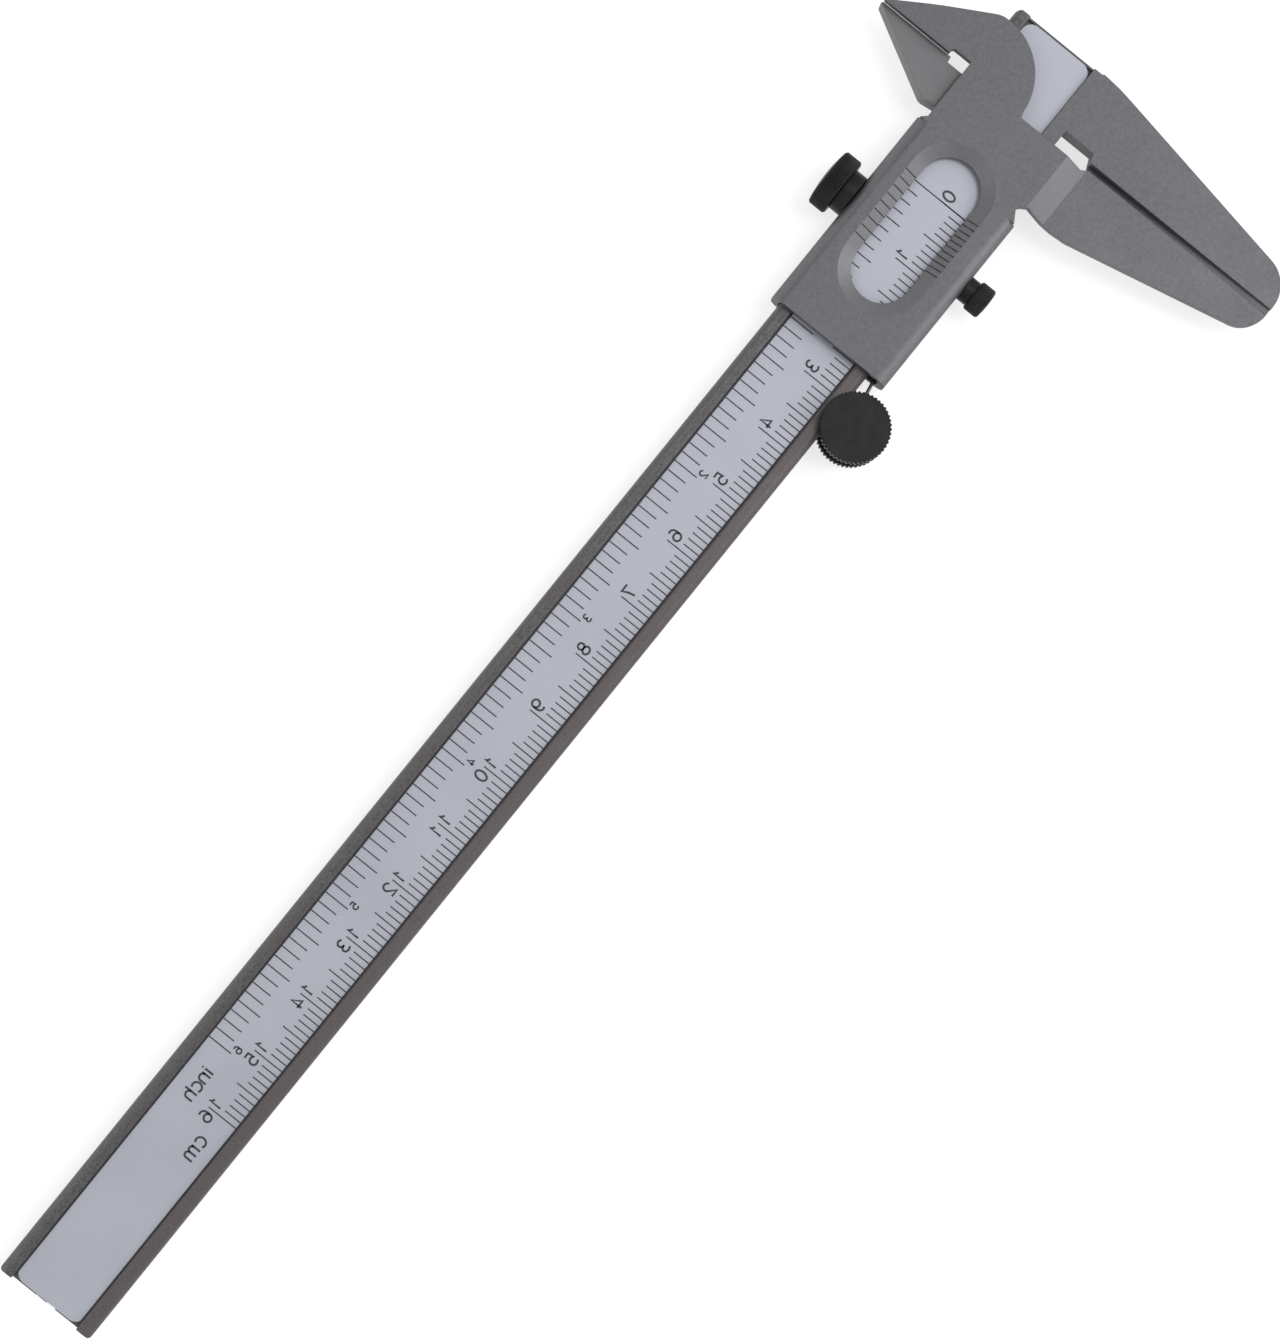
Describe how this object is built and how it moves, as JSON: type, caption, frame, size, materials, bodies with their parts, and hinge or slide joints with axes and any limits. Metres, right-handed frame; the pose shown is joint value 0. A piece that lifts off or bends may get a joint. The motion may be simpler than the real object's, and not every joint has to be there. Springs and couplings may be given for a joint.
{
  "type": "vernier caliper",
  "caption": "Folded-sheet vernier caliper with outside and inside jaws, slider with vernier window, knurled clamp screw, thumb roller and flat depth rod.",
  "frame": {"origin": "measuring line of the closed jaws, on the beam's centre line, at the beam's back face", "axes": "+X along the beam toward the jaw end, +Y toward the small inside jaws, +Z out of the scale face"},
  "size_m": [0.2225, 0.0683, 0.0086],
  "materials": {
    "sheet_steel": "satin grey plated sheet",
    "scale_face": "pale matt satin scale",
    "blackened_steel": "black oxide, knurled rims",
    "spring_steel": "drawn spring steel"
  },
  "bodies": {
    "beam": {"beam_frame": "sheet_steel", "fixed_jaw_facing": "sheet_steel", "scale_bed": "sheet_steel", "scale_strip": "scale_face"},
    "slider": {"slider_frame": "sheet_steel", "clamp_bush": "blackened_steel", "tension_bush": "blackened_steel", "spring_wire": "spring_steel", "depth_rod": "spring_steel", "depth_rod_spacer": "sheet_steel", "depth_rod_rivet": "sheet_steel"},
    "clamp": {"clamp_screw": "blackened_steel"},
    "tension": {"tension_screw": "blackened_steel"},
    "roller": {"roller_front": "blackened_steel", "roller_rear": "blackened_steel", "roller_pin": "blackened_steel"}
  },
  "joints": [
    {"name": "slider_slide", "type": "slide", "parent": "beam", "child": "slider", "axis": [-1, 0, 0], "range_m": [0, 0.16]},
    {"name": "clamp_turn", "type": "hinge", "parent": "slider", "child": "clamp", "pos_m": [-0.0231, 0, 0.0016], "axis": [0, 1, 0], "range_deg": [0, 360]},
    {"name": "tension_turn", "type": "hinge", "parent": "slider", "child": "tension", "pos_m": [-0.0231, 0, 0.0016], "axis": [0, -1, 0], "range_deg": [0, 180]},
    {"name": "roller_turn", "type": "hinge", "parent": "slider", "child": "roller", "pos_m": [-0.0481, -0.01095, 0], "axis": [0, 0, 1], "range_deg": [-3060, 0]}
  ],
  "couplings": [
    {"joint": "roller_turn", "follows": "slider_slide", "rad_per_m": -333.33}
  ]
}
